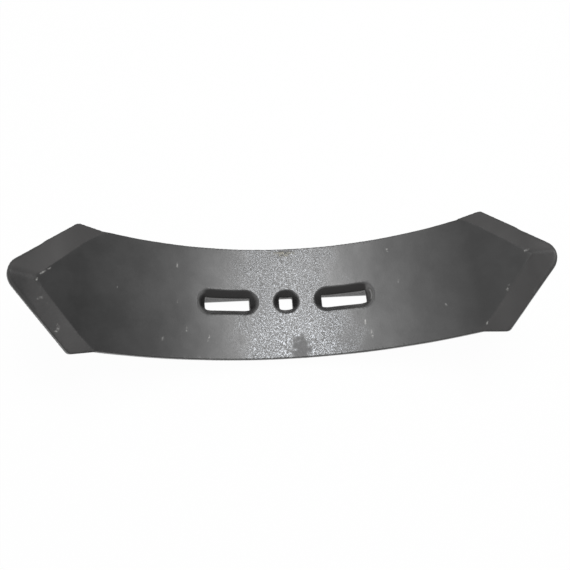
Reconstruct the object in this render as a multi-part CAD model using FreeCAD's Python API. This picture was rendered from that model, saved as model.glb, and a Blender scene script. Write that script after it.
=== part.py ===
import FreeCAD, Part
import math
import os

from FreeCAD import Vector

# A reversible plough point. One flat bar of steel is bent to an arc with straight tips,
# pressed to a bevelled point at each end and punched for three countersunk bolts.
# Sizes are in millimetres and angles in degrees. X runs along the length, Y across the
# width and Z up from the lowest line of the convex back. The concave face is the front.
# The two ends are the same shape, half a turn apart about Z.

# Flat bar
width = 110.0
thickness = 10.0
wall_draft = 12.0

# Bend, measured along the concave face
face_radius = 295.0
shoulder_reach = 189.5

# Points
shoulder_width = 117.4
flare_length = 20.0
tip_length = 59.4
nose_offset = 2.0
nose_radius = 17.0
shoulder_round = 5.0

# Front bevels, from the cutting edges inwards
bevel_drop = 5.0
broad_bevel = 21.5
narrow_bevel = 16.0

# Bolts with a countersunk head and a square neck
neck_hole = 12.5
neck_corner = 1.5
head_diameter = 24.2
head_angle = 90.0
slot_reach = 54.0
slot_travel = 29.5

# Edges
front_round = 1.0
back_chamfer = 1.5
rim_round = 0.6

# How far a cutting tool runs past the face that it cuts
overrun = 5.0

# How far, in degrees, the angle along a rim may stray from half the head's angle
rim_tolerance = 20.0

shoulder_angle = shoulder_reach / face_radius
bend_centre = Vector(0, 0, thickness + face_radius)
draft_slope = math.tan(math.radians(wall_draft))


def on_face(arc_length):
    # A frame on the concave face: X along the bar, Z out of the face
    turn = math.degrees(arc_length / face_radius)
    frame = FreeCAD.Placement()
    frame.rotate(bend_centre, Vector(0, 1, 0), -turn)
    start = FreeCAD.Placement(Vector(0, 0, thickness), FreeCAD.Rotation())
    return frame.multiply(start)


def placed(shape, frame):
    moved = shape.copy()
    moved.Placement = frame.multiply(moved.Placement)
    return moved


def half_turn(shape):
    turned = shape.copy()
    turned.rotate(Vector(0, 0, 0), Vector(0, 0, 1), 180)
    return turned


def upright_edges(shape):
    return [edge for edge in shape.Edges if abs(edge.tangentAt(edge.FirstParameter).z) > 0.9]


def bent_plate():
    # The section along the bar: two arcs about one centre, with tangent straight tips
    left, middle, right = [on_face(reach) for reach in (-shoulder_reach, 0, shoulder_reach)]
    length = tip_length + overrun

    def arc(depth):
        points = [frame.multVec(Vector(0, 0, -depth)) for frame in (left, middle, right)]
        return Part.Arc(*points).toShape()

    def tip(frame, reach):
        corners = [
            Vector(0, 0, 0),
            Vector(reach, 0, 0),
            Vector(reach, 0, -thickness),
            Vector(0, 0, -thickness),
        ]
        return Part.makePolygon([frame.multVec(corner) for corner in corners]).Edges

    edges = [arc(0)] + tip(right, length) + [arc(thickness)] + tip(left, -length)
    section = Part.Face(Part.Wire(Part.__sortEdges__(edges)))
    half_width = shoulder_width / 2 + overrun
    section.translate(Vector(0, -half_width, 0))
    return section.extrude(Vector(0, 2 * half_width, 0))


def bar_section():
    # Drafted sides, rounded front corners and chamfered back corners
    def side(height):
        return width / 2 + (height - thickness) * draft_slope

    lean = math.radians(wall_draft)
    back_side = Vector(0, side(back_chamfer), back_chamfer)
    back_flat = Vector(0, side(0) - back_chamfer, 0)
    front_corner = Vector(0, side(thickness), thickness)
    setback = front_round * math.tan((math.pi / 2 - lean) / 2)
    front_side = front_corner - Vector(0, math.sin(lean), math.cos(lean)) * setback
    front_flat = front_corner - Vector(0, setback, 0)
    round_centre = front_flat - Vector(0, 0, front_round)
    outwards = (front_corner - round_centre).normalize()
    round_middle = round_centre + outwards * front_round
    half = [
        Part.makeLine(Vector(0, 0, 0), back_flat),
        Part.makeLine(back_flat, back_side),
        Part.makeLine(back_side, front_side),
        Part.Arc(front_side, round_middle, front_flat).toShape(),
        Part.makeLine(front_flat, Vector(0, 0, thickness)),
    ]
    mirrored = [edge.mirror(Vector(0, 0, 0), Vector(0, 1, 0)) for edge in half]
    return Part.Face(Part.Wire(Part.__sortEdges__(half + mirrored)))


def bent_bar():
    # The section of the bar, turned about the axis of the bend from shoulder to shoulder
    angle = math.degrees(shoulder_angle)
    section = bar_section()
    section.rotate(bend_centre, Vector(0, 1, 0), angle)
    return section.revolve(bend_centre, Vector(0, 1, 0), -2 * angle)


class Wall:
    # A straight wall of a tip in plan, with the metal on its left
    def __init__(self, start, end):
        self.start = start
        self.along = (end - start).normalize()
        self.inward = Vector(-self.along.y, self.along.x, 0)

    def moved_in(self, distance):
        start = self.start + self.inward * distance
        return Wall(start, start + self.along)

    def meets(self, other):
        gap = other.start - self.start
        across = self.along.cross(other.along).z
        return self.start + self.along * (gap.cross(other.along).z / across)


def tip_walls():
    # The walls of the right tip at the foot of its bevels, in the frame of its shoulder
    shoulder = shoulder_width / 2
    spread = shoulder - width / 2 + bevel_drop * draft_slope
    buried = 2 * flare_length
    root = shoulder - spread * buried / flare_length
    corners = [
        Vector(-buried, root, 0),
        Vector(-buried, -root, 0),
        Vector(0, -shoulder, 0),
        Vector(tip_length, -nose_offset, 0),
        Vector(0, shoulder, 0),
    ]
    return [Wall(start, end) for start, end in zip(corners, corners[1:] + corners[:1])]


def tip_wire(height):
    # The outline of the right tip at one height, drawn in as its drafted walls lean
    inset = -(height + bevel_drop) * draft_slope
    walls = [wall.moved_in(inset) for wall in tip_walls()]
    root, low_flare, low_edge, high_edge, high_flare = walls
    radius = nose_radius - inset
    centre = low_edge.moved_in(radius).meets(high_edge.moved_in(radius))
    centre_line = (low_edge.inward + high_edge.inward).normalize()
    nose = [
        centre - direction * radius
        for direction in (low_edge.inward, centre_line, high_edge.inward)
    ]
    buried = high_flare.meets(root)
    low_side = [buried, root.meets(low_flare), low_flare.meets(low_edge), nose[0]]
    high_side = [nose[2], high_edge.meets(high_flare), buried]
    edges = Part.makePolygon(low_side).Edges
    edges += [Part.Arc(*nose).toShape()]
    edges += Part.makePolygon(high_side).Edges
    wire = Part.Wire(edges)
    wire.translate(Vector(0, 0, height))
    return wire


def tip_outline():
    wires = [tip_wire(overrun), tip_wire(-thickness - overrun)]
    prism = Part.makeLoft(wires, True, True)
    corners = upright_edges(prism)
    shoulders = [edge for edge in corners if abs(edge.CenterOfMass.x) < flare_length / 2]
    prism = prism.makeFillet(shoulder_round, shoulders)
    return placed(prism, on_face(shoulder_reach))


def bevel_tool(edge, nose, side, bevel_width):
    # A block on the plane of one bevel. The plane holds the foot at the nose, and the line
    # where the bevel starts: it runs beside the edge, from the nose to the side of the bar.
    start = edge.moved_in(bevel_width)
    bar_side = Wall(Vector(0, side * width / 2, 0), Vector(-1, side * width / 2, 0))
    corner = start.meets(bar_side)
    rise = face_radius - math.sqrt(face_radius ** 2 - corner.x ** 2)
    foot = nose - Vector(0, 0, bevel_drop)
    head = nose + edge.inward * bevel_width
    along = corner + Vector(0, 0, rise) - head
    across = head - foot
    up = along.cross(across) * side
    forward = along * side
    block = Part.makeBox(4 * tip_length, 2 * bevel_width + 2 * overrun, tip_length)
    block.translate(Vector(-2 * tip_length, -2 * overrun, 0))
    turn = FreeCAD.Rotation(forward, up.cross(forward), up, "ZXY")
    block = placed(block, FreeCAD.Placement(foot, turn))
    return placed(block, on_face(shoulder_reach))


def bolt_pocket(travel):
    # Room for one bolt that can slide along the bar by the travel
    slope = math.tan(math.radians(head_angle / 2))
    head_radius = head_diameter / 2
    mouth_radius = head_radius + overrun * slope
    depth = head_radius / slope
    height = depth + overrun
    cones = [
        Part.makeCone(0, mouth_radius, height, Vector(shift, 0, -depth))
        for shift in (-travel / 2, travel / 2)
    ]
    length = neck_hole + travel
    neck = Part.makeBox(length, neck_hole, thickness + 2 * overrun)
    neck.translate(Vector(-length / 2, -neck_hole / 2, -thickness - overrun))
    neck = neck.makeFillet(neck_corner, upright_edges(neck))
    if travel == 0:
        return cones[0].fuse(neck)
    corners = [
        Vector(-travel / 2, 0, -depth),
        Vector(-travel / 2, mouth_radius, overrun),
        Vector(-travel / 2, -mouth_radius, overrun),
    ]
    groove = Part.Face(Part.makePolygon(corners + corners[:1]))
    groove = groove.extrude(Vector(travel, 0, 0))
    return cones[0].fuse([cones[1], groove, neck])


def blank():
    tip = bent_plate().common(tip_outline())
    return bent_bar().fuse([tip, half_turn(tip)]).removeSplitter()


def bevelled(plate):
    low_edge, high_edge = tip_walls()[2:4]
    nose = low_edge.meets(high_edge)
    low_tool = bevel_tool(low_edge, nose, -1, broad_bevel)
    high_tool = bevel_tool(high_edge, nose, 1, narrow_bevel)
    tools = [low_tool, high_tool]
    tools += [half_turn(tool) for tool in tools]
    return plate.cut(tools)


def sloping_edges(shape):
    # Edges where a face that looks up meets one that slopes down from it
    chosen = []
    for edge in shape.Edges:
        faces = shape.ancestorsOfType(edge, Part.Face)
        if len(faces) != 2:
            continue
        point = edge.valueAt((edge.FirstParameter + edge.LastParameter) / 2)
        normals = [face.normalAt(*face.Surface.parameter(point)) for face in faces]
        turn = math.degrees(normals[0].getAngle(normals[1]))
        looks_up = max(normal.z for normal in normals) > 0.6
        if looks_up and abs(turn - head_angle / 2) < rim_tolerance:
            chosen.append(edge)
    return chosen


def punched(plate):
    tools = [
        placed(bolt_pocket(0), on_face(0)),
        placed(bolt_pocket(slot_travel), on_face(slot_reach)),
        placed(bolt_pocket(slot_travel), on_face(-slot_reach)),
    ]
    plate = plate.cut(tools)
    rims = [edge for edge in sloping_edges(plate) if abs(edge.CenterOfMass.y) < head_diameter]
    return plate.makeFillet(rim_round, rims)


def main():
    os.makedirs("parts", exist_ok=True)
    plate = punched(bevelled(blank()))
    plate.exportStep("parts/plough_point.step")
    box = plate.BoundBox
    print("plough_point", plate.isValid(), len(plate.Solids), len(plate.Faces), round(plate.Volume), box)


main()
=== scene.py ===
import math

import bmesh
import bpy
import numpy as np
from mathutils import Matrix, Vector, noise


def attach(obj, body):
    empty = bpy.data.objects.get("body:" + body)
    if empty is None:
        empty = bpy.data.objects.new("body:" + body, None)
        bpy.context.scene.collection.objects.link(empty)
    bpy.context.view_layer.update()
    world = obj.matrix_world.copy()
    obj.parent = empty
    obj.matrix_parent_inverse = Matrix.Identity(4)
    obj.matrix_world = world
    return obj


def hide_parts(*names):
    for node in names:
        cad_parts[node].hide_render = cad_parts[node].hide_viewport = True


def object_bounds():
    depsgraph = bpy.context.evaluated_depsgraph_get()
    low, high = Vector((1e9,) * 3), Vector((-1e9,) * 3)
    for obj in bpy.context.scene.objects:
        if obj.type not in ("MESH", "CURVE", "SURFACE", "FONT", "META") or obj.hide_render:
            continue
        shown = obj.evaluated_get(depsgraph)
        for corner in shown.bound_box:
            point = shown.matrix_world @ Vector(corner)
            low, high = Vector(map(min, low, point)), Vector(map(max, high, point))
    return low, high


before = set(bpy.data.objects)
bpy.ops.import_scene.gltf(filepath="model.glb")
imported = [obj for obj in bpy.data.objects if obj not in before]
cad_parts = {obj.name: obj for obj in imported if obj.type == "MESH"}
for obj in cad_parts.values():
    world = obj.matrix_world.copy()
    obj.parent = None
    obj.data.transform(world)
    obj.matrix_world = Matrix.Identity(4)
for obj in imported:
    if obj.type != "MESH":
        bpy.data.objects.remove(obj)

cadBox = [list(corner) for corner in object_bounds()]
print("frame loaded, box", cadBox)


# The plate as it was bent: an arc about an axis along Y, with straight tips. Reach is the
# distance from the middle along the concave face, negative to the left
bend = {
    "faceRadius": 0.295,
    "thickness": 0.010,
    "shoulderReach": 0.1895,     # where the straight tips start
    "slotReach": 0.054,
    "slotHalf": 0.0148,          # half the travel of a bolt in its slot
    "headRadius": 0.0121,        # of the countersinks
}


def unrolled(points):
    # Reach of each point, and its height over the concave face
    radius = bend["faceRadius"]
    side = np.sign(points[:, 0])
    x = np.abs(points[:, 0])
    drop = bend["thickness"] + radius - points[:, 2]
    turn = np.arctan2(x, drop)
    limit = bend["shoulderReach"] / radius
    onArc = turn <= limit
    fromAxis = np.hypot(x, drop)
    shoulderX = radius * math.sin(limit)
    shoulderDrop = radius * math.cos(limit)
    along = (x - shoulderX) * math.cos(limit) + (shoulderDrop - drop) * math.sin(limit)
    above = (shoulderDrop - drop) * math.cos(limit) - (x - shoulderX) * math.sin(limit)
    reach = np.where(onArc, turn * radius, bend["shoulderReach"] + along) * side
    height = np.where(onArc, radius - fromAxis, above)
    return reach, height


def alongHoles(reach):
    # Distance along the bar from the centre hole, or past the end of a slot's centre line
    alongSlot = np.abs(np.abs(reach) - bend["slotReach"]) - bend["slotHalf"]
    return np.maximum(np.minimum(np.abs(reach), alongSlot), 0)


def fromHoles(reach, across):
    # Distance from the centre of the centre hole, or from the centre line of a slot
    return np.hypot(alongHoles(reach), across)


def rise(low, high, values):
    share = np.clip((values - low) / (high - low), 0, 1)
    return share * share * (3 - 2 * share)


def fade(low, high, values):
    return 1 - rise(low, high, values)


def alongBar(reach, stops):
    # A value that runs from stop to stop along the bar. Each stop is a reach and a value
    return np.interp(reach, *zip(*stops))


# The forged skin. Each relief is a size, a depth and a seed
forging = {
    "weld": 1e-6,                      # points of the plate closer than this are one
    "voxel": 0.0008,
    "smoothing": 0.5,                  # strength of each pass, also of the wear
    "smoothPasses": 2,
    "facetSlack": 0.00013,             # how far a flat facet may lie off its arc
    "waves": (0.030, 0.00016, 3),
    "dents": (0.009, 0.00004, 11),
    "pebbles": (0.0026, 0.00004, 23),
    "pebblesEnd": (0.030, 0.060),      # reach over which they thin out
    "pebblesLeft": 0.1,                # share of them beyond it
    "triangles": 190000,
}

# Worn crests and rims. A pair gives the start and the end of a change
worn = {
    "crestPasses": 40,
    "crestFrom": (0.216, 0.219),
    "crestTo": (0.242, 0.246),
    "crestFloor": -0.0060,
    "rimPasses": 24,
    "rimWidth": (0.0012, 0.0024),
    "rimFloor": -0.0022,
    "rimLeast": 0.25,                  # wear of the rims but for the outer ends of the slots
    "outerEnd": (0.068, 0.076),
    "outerLimit": 0.090,
}

# Scars in the scale: reach, place across the face, length, slant in degrees, width and strength
scuffs = [
    (-0.2148, 0.0054, 0.0095, 42, 0.0006, 1.0),
    (-0.2207, -0.0031, 0.0022, 80, 0.0005, 1.0),
    (-0.2160, -0.0170, 0.0050, 25, 0.0003, 0.4),
    (-0.2100, -0.0195, 0.0030, 70, 0.0003, 0.4),
    (-0.2009, -0.0404, 0.0046, 82, 0.0004, 1.0),
    (-0.1541, 0.0021, 0.0040, 98, 0.0003, 1.0),
    (-0.1141, -0.0387, 0.0028, 85, 0.0004, 1.0),
    (-0.1008, 0.0336, 0.0034, 97, 0.0005, 1.0),
    (-0.1006, -0.0021, 0.0026, 92, 0.0004, 1.0),
    (-0.0933, -0.0272, 0.0040, 84, 0.0005, 1.0),
    (-0.0730, -0.0346, 0.0060, 72, 0.0004, 1.0),
    (0.0704, -0.0271, 0.0050, 80, 0.0004, 1.0),
    (0.0751, -0.0398, 0.0060, 100, 0.0004, 1.0),
    (0.1006, 0.0400, 0.0040, 95, 0.0004, 1.0),
    (0.1062, 0.0081, 0.0024, 90, 0.0005, 1.0),
    (0.1439, -0.0256, 0.0045, 92, 0.0004, 1.0),
    (0.1745, -0.0485, 0.0024, 60, 0.0005, 1.0),
    (0.1977, -0.0230, 0.0040, 62, 0.0006, 1.0),
    (0.2197, 0.0061, 0.0026, 20, 0.0008, 1.0),
]

scuffEdge = (0.4, 1.3)      # where the edge of a scar starts and ends, in its own widths


def readPoints(mesh):
    points = np.zeros(len(mesh.vertices) * 3)
    mesh.vertices.foreach_get("co", points)
    return points.reshape(-1, 3)


def readNormals(mesh):
    normals = np.zeros(len(mesh.vertices) * 3)
    mesh.vertices.foreach_get("normal", normals)
    return normals.reshape(-1, 3)


def applyModifiers(piece):
    graph = bpy.context.evaluated_depsgraph_get()
    finished = bpy.data.meshes.new_from_object(piece.evaluated_get(graph))
    old = piece.data
    piece.modifiers.clear()
    piece.data = finished
    bpy.data.meshes.remove(old)


def noiseField(points, size, depth, seed):
    # Each seed reads its own part of the same noise
    shift = Vector((seed, seed * 1.7, seed * 0.3))
    return np.array([noise.noise(Vector(point) / size + shift) for point in points]) * depth


def meltSkin(node):
    # A closed, even mesh of the plate, whose sharp edges come out slightly rounded
    mesh = node.data.copy()
    build = bmesh.new()
    build.from_mesh(mesh)
    bmesh.ops.remove_doubles(build, verts=build.verts, dist=forging["weld"])
    build.to_mesh(mesh)
    build.free()
    guide = bpy.data.objects.new("guide", mesh.copy())
    bpy.context.scene.collection.objects.link(guide)
    piece = bpy.data.objects.new("forged_point", mesh)
    bpy.context.scene.collection.objects.link(piece)
    remesh = piece.modifiers.new("skin", "REMESH")
    remesh.mode = "VOXEL"
    remesh.voxel_size = forging["voxel"]
    remesh.use_smooth_shade = True
    soften = piece.modifiers.new("soften", "SMOOTH")
    soften.factor = forging["smoothing"]
    soften.iterations = forging["smoothPasses"]
    settle = piece.modifiers.new("settle", "SHRINKWRAP")
    settle.target = guide
    settle.wrap_method = "NEAREST_SURFACEPOINT"
    bpy.context.view_layer.update()
    applyModifiers(piece)
    bpy.data.objects.remove(guide)
    return piece


def trueArcs(points):
    # The frame's arcs are made of flat facets: this brings their points back to the true radii
    reach, height = unrolled(points)
    above = height + bend["thickness"]
    slack = forging["facetSlack"]
    error = np.where(np.abs(height) < slack, height, np.where(np.abs(above) < slack, above, 0))
    error *= np.abs(reach) <= bend["shoulderReach"]
    turn = reach / bend["faceRadius"]
    points[:, 0] += np.sin(turn) * error
    points[:, 2] -= np.cos(turn) * error


def wear(piece, name, shares, passes):
    # Rubs down a part of the skin, each point by its own share
    group = piece.vertex_groups.new(name=name)
    for index in np.flatnonzero(shares > 0):
        group.add([int(index)], float(shares[index]), "REPLACE")
    blunt = piece.modifiers.new(name, "SMOOTH")
    blunt.vertex_group = name
    blunt.factor = forging["smoothing"]
    blunt.iterations = passes
    bpy.context.view_layer.update()
    applyModifiers(piece)


def wearEdges(piece):
    # The crests where two bevels meet are blunt, and so are the rims of the holes
    points = readPoints(piece.data)
    reach, height = unrolled(points)
    far = np.abs(reach)
    crest = rise(*worn["crestFrom"], far) * fade(*worn["crestTo"], far)
    crest *= height > worn["crestFloor"]
    fromRim = np.abs(fromHoles(reach, points[:, 1]) - bend["headRadius"])
    atRim = fade(*worn["rimWidth"], fromRim) * (height > worn["rimFloor"])
    outerEnd = rise(*worn["outerEnd"], far) * (far < worn["outerLimit"])
    share = worn["rimLeast"] + (1 - worn["rimLeast"]) * outerEnd
    wear(piece, "crests", crest, worn["crestPasses"])
    wear(piece, "rims", atRim * share, worn["rimPasses"])


def forgeRelief(piece):
    # Waves, dents and pebbles, none of which leaves the box of the plate
    mesh = piece.data
    points = readPoints(mesh)
    trueArcs(points)
    normals = readNormals(mesh)
    reach, height = unrolled(points)
    middle = fade(*forging["pebblesEnd"], np.abs(reach))
    left = forging["pebblesLeft"]
    relief = noiseField(points, *forging["waves"])
    relief += noiseField(points, *forging["dents"])
    relief += noiseField(points, *forging["pebbles"]) * (left + (1 - left) * middle)
    points += normals * relief[:, None]
    low, high = np.array(cadBox)
    points = np.clip(points, low, high)
    mesh.vertices.foreach_set("co", points.ravel())
    mesh.update()


def thinMesh(piece):
    count = sum(len(face.vertices) - 2 for face in piece.data.polygons)
    thin = piece.modifiers.new("thin", "DECIMATE")
    thin.ratio = min(1, forging["triangles"] / count)
    bpy.context.view_layer.update()
    applyModifiers(piece)


def scuffField(reach, across):
    # How strongly each point is scarred
    marked = np.zeros(len(reach))
    for place, side, length, slant, width, strength in scuffs:
        turn = math.radians(slant)
        along = (reach - place) * math.cos(turn) + (across - side) * math.sin(turn)
        off = (across - side) * math.cos(turn) - (reach - place) * math.sin(turn)
        beyond = np.maximum(np.abs(along) - length / 2, 0)
        mark = fade(*scuffEdge, np.hypot(beyond, off) / width)
        marked = np.maximum(marked, mark * strength)
    return marked


# The bevels of the tips: where they lie, and how much painted shade each gets along the bar
bevels = {
    "tilt": (0.004, 0.014),                 # tilt and reach at which a bevel starts
    "from": (0.130, 0.150),
    "upperShade": [
        (-0.230, 0.36), (-0.221, 0.22), (-0.206, 0.00), (-0.193, 0.15),
        (0.190, 0.10), (0.203, 0.18), (0.221, 0.40), (0.234, 0.22),
    ],
    "lowerShade": [
        (-0.230, 0.90), (-0.221, 0.68), (-0.206, 0.52), (-0.193, 0.30),
        (0.190, 0.18), (0.203, 0.34), (0.221, 0.52), (0.234, 0.48),
    ],
    "blend": (-0.0080, 0.0025),             # from the upper to the lower bevel, across the crest
    "crest": [(0.2195, 0.0031), (0.2489, -0.0020)],      # reach, and place across the bar
    # Painted shade over the crest, which hides its highlight
    "darkCrestFrom": (0.214, 0.221),        # on the right tip only
    "darkCrestWidth": (0.0010, 0.0045),
    "darkCrestShade": 0.14,
}


def bevelMasks(reach, across, tilt, front):
    far = np.abs(reach)
    crestLine = np.sign(reach) * alongBar(far, bevels["crest"])
    dark = rise(*bevels["darkCrestFrom"], reach)
    dark *= fade(*bevels["darkCrestWidth"], np.abs(across - crestLine))
    upper = alongBar(reach, bevels["upperShade"])
    lower = alongBar(reach, bevels["lowerShade"])
    shade = upper + (lower - upper) * rise(*bevels["blend"], crestLine - across)
    return {
        "bevel": rise(*bevels["tilt"], tilt) * rise(*bevels["from"], far) * front,
        "bevelShade": shade + bevels["darkCrestShade"] * dark,
    }


# The bolt holes, measured from their centres or their centre lines. Their recesses get painted shade,
# and some of their walls, rims and necks painted light
holes = {
    "edge": (0.0128, 0.0133),               # distance at which the paint of a hole ends
    "overBack": (-0.0099, -0.0096),
    "sunk": (0.0002, 0.0009),               # depth at which the painted shade of a hole starts
    "sunkRagged": (0.012, 0.0002, 41),
    "neckDepth": (0.0058, 0.0063),
    "nearWall": (-0.0070, -0.0040),
    "nearLit": 0.11,                     # share of painted light on the near walls
    "outerEnd": (0.0745, 0.0765),           # of the right slot
    "outerEndHalf": (0.007, 0.011),
    "outerEndLit": 0.19,                 # share of painted reflection there
    "streak": 0.0111,                       # a painted highlight line down that end
    "streakWidth": (0.0003, 0.0009),
    "streakHalf": (0.004, 0.006),
    "rim": 0.0124,                          # middle of the painted highlight along a rim
    "rimWidth": (0, 0.0026),
    "rimEnds": (0.4, 0.9),                  # keeps it to the ends of the holes
    "rimFloor": -0.004,
    "rimLimit": 0.086,
    "rimLight": [
        (-0.060, 1.0), (-0.040, 0.6), (0.014, 0.6),
        (0.024, 0.1), (0.050, 0.1), (0.070, 1.0),
    ],
    "least": 0.001,                         # avoids a division by zero on a centre line
}


def holeMasks(points, reach, height, front):
    across = points[:, 1]
    fromHole = fromHoles(reach, across)
    inHole = fade(*holes["edge"], fromHole) * rise(*holes["overBack"], height)
    sunk = rise(*holes["sunk"], noiseField(points, *holes["sunkRagged"]) - height)
    outerEnd = rise(*holes["outerEnd"], reach) * fade(*holes["outerEndHalf"], np.abs(across))
    streak = fade(*holes["streakWidth"], np.abs(fromHole - holes["streak"]))
    streak *= fade(*holes["streakHalf"], np.abs(across))
    # Painted reflection at the right slot's outer end, and painted light on the near walls
    outerLit = holes["outerEndLit"] + (1 - holes["outerEndLit"]) * streak
    nearLit = holes["nearLit"] * fade(*holes["nearWall"], across)
    rim = fade(*holes["rimWidth"], np.abs(fromHole - holes["rim"]))
    rim *= rise(*holes["rimEnds"], alongHoles(reach) / np.maximum(fromHole, holes["least"]))
    rim *= (height > holes["rimFloor"]) * (np.abs(reach) < holes["rimLimit"])
    return {
        "recess": sunk * inHole,
        "paintedReflection": np.maximum(nearLit, outerEnd * outerLit),
        "rimEnd": rim * alongBar(reach, holes["rimLight"]) * front,
        "neck": rise(*holes["neckDepth"], -height) * inHole,
    }


# The face: painted highlight and shade along the bar, and the marks on it. A patch has a place,
# half lengths, the start and the end of its edge in those, and the size, depth and seed of its
# raggedness
face = {
    # Painted highlight and shade: paler in the middle where the lamp's highlight lies, darker to the
    # tips
    "toneAndPaintedLight": [
        (-0.190, 0.12), (-0.155, 0.25), (-0.120, 0.33), (-0.090, 0.42),
        (-0.050, 0.57), (0.015, 0.68), (0.055, 0.67), (0.088, 0.61),
        (0.115, 0.63), (0.150, 0.51), (0.175, 0.31), (0.190, 0.33),
    ],
    "lowHalfPaintedLight": [                            # painted light and shade that the lower half adds to it
        (-0.100, -0.10), (-0.077, -0.06), (-0.046, -0.08), (-0.020, 0), (0.020, 0),
        (0.042, -0.14), (0.060, -0.05), (0.090, 0.13), (0.120, 0.08), (0.150, 0),
    ],
    "lowHalf": (-0.030, 0.010),
    "pebbled": (0.018, 0.060),
    "lowPebblesMore": 0.005,                # how much further they reach in the lower half
    "lowPebblesShift": 0.007,               # and how far they lie to the right there
    "pebblesRagged": (0.014, 0.015, 83),
    "wallTilt": (0.06, 0.26),
    "pastHoles": (0.0140, 0.0150),
    "scuffFloor": (-0.0050, -0.0045),
    "dull": {
        "place": (0.0100, -0.0470),
        "half": (0.0085, 0.0125),
        "edge": (0.55, 1.15),
        "ragged": (0.004, 0.5, 57),
    },
    "pitted": {
        "place": (0.0010, 0.0500),
        "half": (0.0110, 0.0030),
        "edge": (0.5, 1.1),
        "ragged": (0.005, 0.6, 71),
    },
}


def patchField(points, reach, patch):
    along = (reach - patch["place"][0]) / patch["half"][0]
    across = (points[:, 1] - patch["place"][1]) / patch["half"][1]
    return fade(*patch["edge"], np.hypot(along, across) + noiseField(points, *patch["ragged"]))


def faceMasks(points, reach, height, tilt, front):
    across = points[:, 1]
    lowHalf = fade(*face["lowHalf"], across)
    fromMiddle = np.abs(reach - face["lowPebblesShift"] * lowHalf)
    fromMiddle -= face["lowPebblesMore"] * lowHalf
    fromMiddle += noiseField(points, *face["pebblesRagged"])
    return {
        "toneAndPaintedLight": alongBar(reach, face["toneAndPaintedLight"]) + alongBar(reach, face["lowHalfPaintedLight"]) * lowHalf,
        "lowHalf": lowHalf,
        "pebbled": fade(*face["pebbled"], fromMiddle),
        "wall": rise(*face["wallTilt"], tilt) * rise(*face["pastHoles"], fromHoles(reach, across)),
        "scuff": scuffField(reach, across) * front * rise(*face["scuffFloor"], height),
        "dull": patchField(points, reach, face["dull"]) * front,
        "pitted": patchField(points, reach, face["pitted"]),
    }


facesUp = (0.2, 0.5)        # upward part of a normal at which the front starts, and is full


def paintMasks(piece):
    # Attributes that tell the material what lies where. Tilt is 0 along the concave face
    mesh = piece.data
    points = readPoints(mesh)
    normals = readNormals(mesh)
    reach, height = unrolled(points)
    turn = np.clip(reach, -bend["shoulderReach"], bend["shoulderReach"]) / bend["faceRadius"]
    tilt = 1 - (normals[:, 2] * np.cos(turn) - normals[:, 0] * np.sin(turn))
    front = rise(*facesUp, normals[:, 2])
    masks = bevelMasks(reach, points[:, 1], tilt, front)
    masks.update(holeMasks(points, reach, height, front))
    masks.update(faceMasks(points, reach, height, tilt, front))
    for name, values in masks.items():
        layer = mesh.attributes.new(name, "FLOAT", "POINT")
        layer.data.foreach_set("value", values.astype(np.float32))
    print("masks painted", len(masks))


# A shader value that takes part in sums and products
class Signal:
    def __init__(self, shader, socket):
        self.shader = shader
        self.socket = socket

    def maths(self, operation, first, second):
        return self.shader.make("ShaderNodeMath", {"operation": operation}, {0: first, 1: second})

    def __add__(self, other):
        return self.maths("ADD", self, other)

    def __radd__(self, other):
        return self.maths("ADD", other, self)

    def __sub__(self, other):
        return self.maths("SUBTRACT", self, other)

    def __rsub__(self, other):
        return self.maths("SUBTRACT", other, self)

    def __mul__(self, other):
        return self.maths("MULTIPLY", self, other)

    def __rmul__(self, other):
        return self.maths("MULTIPLY", other, self)

    def __abs__(self):
        return self.maths("ABSOLUTE", self, 0)

    def between(self, low, high):
        inputs = {"Value": self, "From Min": low, "From Max": high}
        return self.shader.make("ShaderNodeMapRange", {"interpolation_type": "SMOOTHSTEP"}, inputs)


# The node tree of a material or of the world
class Shader:
    def __init__(self, owner):
        owner.use_nodes = True
        self.owner = owner
        self.nodes = owner.node_tree.nodes
        self.links = owner.node_tree.links
        self.nodes.clear()

    def make(self, kind, settings, inputs, output=0):
        node = self.nodes.new(kind)
        for name, value in settings.items():
            setattr(node, name, value)
        for name, value in inputs.items():
            if isinstance(value, Signal):
                self.links.new(value.socket, node.inputs[name])
            else:
                node.inputs[name].default_value = value
        return Signal(self, node.outputs[output]) if node.outputs else None

    def attribute(self, name):
        return self.make("ShaderNodeAttribute", {"attribute_name": name}, {}, "Fac")

    def noise(self, place, scale, detail, roughness):
        inputs = {"Vector": place, "Scale": scale, "Detail": detail, "Roughness": roughness}
        return self.make("ShaderNodeTexNoise", {}, inputs)

    def mix(self, share, first, second):
        # Sockets 6 and 7 and output 2 are those for colours
        inputs = {0: share, 6: first, 7: second}
        return self.make("ShaderNodeMix", {"data_type": "RGBA"}, inputs, 2)

    def seen(self):
        # 1 for what the camera sees, straight or in metal and glass
        rays = ("Is Camera Ray", "Is Glossy Ray", "Is Transmission Ray")
        straight, mirrored, through = [self.make("ShaderNodeLightPath", {}, {}, ray) for ray in rays]
        return (straight + mirrored + through).between(0, 0.5)

    def finish(self, surface, kind="ShaderNodeOutputMaterial"):
        self.make(kind, {}, {"Surface": surface})
        return self.owner
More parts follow.
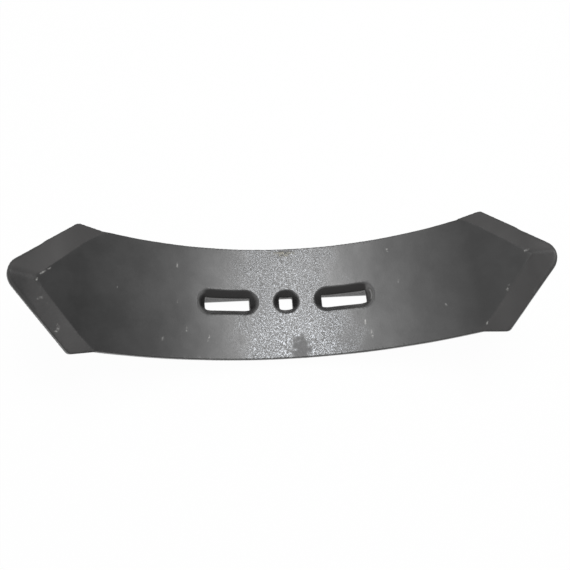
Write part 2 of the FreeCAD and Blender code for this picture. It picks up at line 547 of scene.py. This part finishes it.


# Oiled, scaled steel as it comes from the forge, with painted light and shade in several of its
# colours
steel = {
    "dark": (0.0300, 0.0300, 0.0300, 1),
    "pale": (0.1000, 0.1000, 0.1000, 1),
    "paintedGlintTone": (0.2350, 0.2450, 0.2590, 1),
    "shadeTone": (0.0310, 0.0310, 0.0310, 1),
    "bevelTone": (0.0560, 0.0548, 0.0545, 1),
    "bevelShadeTone": (0.0110, 0.0110, 0.0110, 1),
    # Painted light: a paler colour on the side walls
    "wallLitTone": (0.0580, 0.0575, 0.0570, 1),
    "pitTone": (0.1779, 0.1707, 0.1467, 1),
    "dullTone": (0.0640, 0.0640, 0.0650, 1),
    "recessShadeTone": (0.0330, 0.0322, 0.0322, 1),
    "paintedReflectionTone": (0.7000, 0.6960, 0.6920, 1),
    "rimHighlightTone": (0.1650, 0.1645, 0.1640, 1),
    "neckLitTone": (0.1080, 0.1063, 0.1050, 1),
    "scuffTone": (0.2379, 0.2355, 0.2283, 1),
    "shadeShare": 0.7,              # how far each of these hides what is under it
    "bevelShare": 0.95,
    "dullShare": 0.8,
    "recessShare": 0.95,
    "rimShare": 0.8,
    "neckShare": 0.9,
    "highGlint": 0.62,              # strength of the painted glints in the upper half
    "cloudTone": 0.09,              # how far the clouds shift the grey of the face
    "metallic": 0.85,
    "roughness": 0.37,
    "grainRoughness": 0.15,         # what each of these adds to it
    "bevelRoughness": 0.08,
    "dullRoughness": 0.12,
}

# Its grain: scale, detail and roughness of each noise, the values between which it shows as
# something, and the strength of the bump that it makes
grains = {
    "cloud": (45, 4.0, 0.55),
    "fine": (420, 3.0, 0.6),
    "pebble": (1150, 2.0, 0.5),
    "cloudRange": (0.35, 0.65),
    "glintRange": (0.50, 0.66),
    "shadeRange": (0.36, 0.46),
    "pitRange": (0.4, 0.6),
    "scuffRange": (0.35, 0.6),
    "bumpDepth": 0.0007,
    "plainBump": 0.05,
    "pebbledBump": 0.20,
    "pittedBump": 0.6,
    "fineBump": 0.6,
    "dullLoss": 0.6,                # how much of its bump the dull patch loses
}


def steelColour(shader, cloud, fine, pebble):
    dull = shader.attribute("dull")
    middle = shader.attribute("pebbled") * (1 - dull)
    high = steel["highGlint"]
    strength = high + (1 - high) * shader.attribute("lowHalf")
    # Painted glints and painted shade among the pebbles, where the lamp's highlight lies
    glint = pebble.between(*grains["glintRange"]) * middle * strength
    shade = (1 - pebble.between(*grains["shadeRange"])) * middle
    # Painted shade on the bevels, more on the lower ones
    bevelTone = shader.mix(shader.attribute("bevelShade"), steel["bevelTone"], steel["bevelShadeTone"])
    # Painted reflections on the near walls of the recesses and at the right slot's outer end
    recessShadeTone = shader.mix(shader.attribute("paintedReflection"), steel["recessShadeTone"], steel["paintedReflectionTone"])
    # Painted highlight and shade along the bar, shifted at random by the clouds
    toneAndPaintedLight = shader.attribute("toneAndPaintedLight") + (cloud.between(*grains["cloudRange"]) - 0.5) * steel["cloudTone"]
    colour = shader.mix(toneAndPaintedLight, steel["dark"], steel["pale"])
    layers = [
        (glint, steel["paintedGlintTone"]),
        (shade * steel["shadeShare"], steel["shadeTone"]),
        (shader.attribute("bevel") * steel["bevelShare"], bevelTone),
        # Painted light on the side walls
        (shader.attribute("wall"), steel["wallLitTone"]),
        (shader.attribute("pitted") * fine.between(*grains["pitRange"]), steel["pitTone"]),
        (dull * steel["dullShare"], steel["dullTone"]),
        # Painted shade in the recesses of the holes
        (shader.attribute("recess") * steel["recessShare"], recessShadeTone),
        # Painted highlights on the ends of the rims
        (shader.attribute("rimEnd") * steel["rimShare"], steel["rimHighlightTone"]),
        # Painted light on the necks of the holes
        (shader.attribute("neck") * steel["neckShare"], steel["neckLitTone"]),
        (shader.attribute("scuff") * fine.between(*grains["scuffRange"]), steel["scuffTone"]),
    ]
    for share, layer in layers:
        colour = shader.mix(share, colour, layer)
    return colour


def steelMaterial():
    shader = Shader(bpy.data.materials.new("forgedSteel"))
    place = shader.make("ShaderNodeTexCoord", {}, {}, "Object")
    cloud, fine, pebble = [shader.noise(place, *grains[name]) for name in ("cloud", "fine", "pebble")]
    dull = shader.attribute("dull")
    middle = shader.attribute("pebbled")

    roughness = steel["roughness"] + (fine - 0.5) * steel["grainRoughness"]
    roughness += shader.attribute("bevel") * steel["bevelRoughness"] + dull * steel["dullRoughness"]

    rough = grains["plainBump"] + grains["pebbledBump"] * middle * (1 - grains["dullLoss"] * dull)
    rough += shader.attribute("pitted") * grains["pittedBump"]
    relief = (pebble + fine * grains["fineBump"]) * rough
    inputs = {"Strength": 1.0, "Distance": grains["bumpDepth"], "Height": relief}
    bump = shader.make("ShaderNodeBump", {}, inputs)

    body = shader.make("ShaderNodeBsdfPrincipled", {}, {
        "Base Color": steelColour(shader, cloud, fine, pebble),
        "Metallic": steel["metallic"],
        "Roughness": roughness,
        "Normal": bump,
    })
    return shader.finish(body)


skin = meltSkin(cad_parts["plough_point"])
print("skin melted", len(skin.data.vertices), "points")
wearEdges(skin)
print("crests and rims worn")
forgeRelief(skin)
print("relief forged")
thinMesh(skin)
paintMasks(skin)
skin.data.materials.clear()
skin.data.materials.append(steelMaterial())
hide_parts("plough_point")
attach(skin, "root")
print("forged point", len(skin.data.polygons), "faces")


# A pale floor that is white to the camera, but for the shadow of the part
studio = {
    "floorSize": 6.0,
    "floorTone": (0.92, 0.92, 0.92, 1),
    "whiteShare": 0.975,
    "stripShare": 0.045,            # of white, on a strip of floor with painted shadow under the holes
    "stripNear": (0.0060, 0.0068),
    "stripFar": (0.0125, 0.0160),
    "stripHalf": (0.078, 0.080),
    "worldLevel": 0.325,
    "keyPower": 12.1,
    "keyWidth": 0.46,
    "keyLength": 0.90,
    "keyDistance": 1.3,
    "keyDirection": (0.125, 0.28, 0.94),
    "keyTwist": 16,
}


def holeShadowStrip(shader):
    # A painted shadow: the strip of floor under the far walls of the holes keeps little of its white
    place = shader.make("ShaderNodeTexCoord", {}, {}, "Object")
    x = shader.make("ShaderNodeSeparateXYZ", {}, {"Vector": place}, "X")
    y = shader.make("ShaderNodeSeparateXYZ", {}, {"Vector": place}, "Y")
    strip = y.between(*studio["stripNear"]) * (1 - y.between(*studio["stripFar"]))
    return strip * (1 - abs(x).between(*studio["stripHalf"]))


def makeFloor():
    build = bmesh.new()
    bmesh.ops.create_grid(build, x_segments=1, y_segments=1, size=studio["floorSize"] / 2)
    mesh = bpy.data.meshes.new("floor")
    build.to_mesh(mesh)
    build.free()
    floor = bpy.data.objects.new("floor", mesh)
    bpy.context.scene.collection.objects.link(floor)
    shader = Shader(bpy.data.materials.new("paleFloor"))
    matt = shader.make("ShaderNodeBsdfDiffuse", {}, {"Color": studio["floorTone"]})
    white = shader.make("ShaderNodeEmission", {}, {"Color": (1, 1, 1, 1), "Strength": 1.0})
    drop = studio["whiteShare"] - studio["stripShare"]
    share = studio["whiteShare"] - holeShadowStrip(shader) * drop
    surface = shader.make("ShaderNodeMixShader", {}, {0: shader.seen() * share, 1: matt, 2: white})
    mesh.materials.append(shader.finish(surface))


def makeWorld():
    world = bpy.data.worlds.new("studio")
    bpy.context.scene.world = world
    shader = Shader(world)
    level = studio["worldLevel"] + shader.seen() * (1 - studio["worldLevel"])
    sky = shader.make("ShaderNodeBackground", {}, {"Color": (1, 1, 1, 1), "Strength": level})
    shader.finish(sky, "ShaderNodeOutputWorld")


def makeKey():
    lamp = bpy.data.lights.new("key", "AREA")
    lamp.shape = "RECTANGLE"
    lamp.size = studio["keyWidth"]
    lamp.size_y = studio["keyLength"]
    lamp.energy = studio["keyPower"]
    key = bpy.data.objects.new("key", lamp)
    direction = Vector(studio["keyDirection"]).normalized()
    twist = math.radians(studio["keyTwist"])
    short = Vector((math.cos(twist), math.sin(twist), 0))
    long = direction.cross(short).normalized()
    turn = Matrix((long.cross(direction), long, direction)).transposed()
    key.matrix_world = Matrix.Translation(direction * studio["keyDistance"]) @ turn.to_4x4()
    bpy.context.scene.collection.objects.link(key)


# The photograph's view
view = {
    "target": (0.00011, 0.01678, 0.010),
    "distance": 0.5605,
    "elevation": 65.549,
    "azimuth": -14.237,
    "roll": 10.570,
    "lens": 37.43,
    "sensor": 36,
    "clipStart": 0.01,
}


def makeCamera():
    scene = bpy.context.scene
    lens = bpy.data.cameras.new("camera")
    lens.lens = view["lens"]
    lens.sensor_width = view["sensor"]
    lens.clip_start = view["clipStart"]
    camera = bpy.data.objects.new("camera", lens)
    scene.collection.objects.link(camera)
    tilt = Matrix.Rotation(math.radians(90 - view["elevation"]), 4, "X")
    swing = Matrix.Rotation(math.radians(view["azimuth"]), 4, "Z")
    roll = Matrix.Rotation(math.radians(view["roll"]), 4, "Z")
    back = Matrix.Translation((0, 0, view["distance"]))
    camera.matrix_world = Matrix.Translation(view["target"]) @ swing @ tilt @ back @ roll
    scene.camera = camera


makeFloor()
makeWorld()
makeKey()
makeCamera()
bpy.context.scene.view_settings.view_transform = "Standard"
print("studio ready")

bpy.context.view_layer.update()
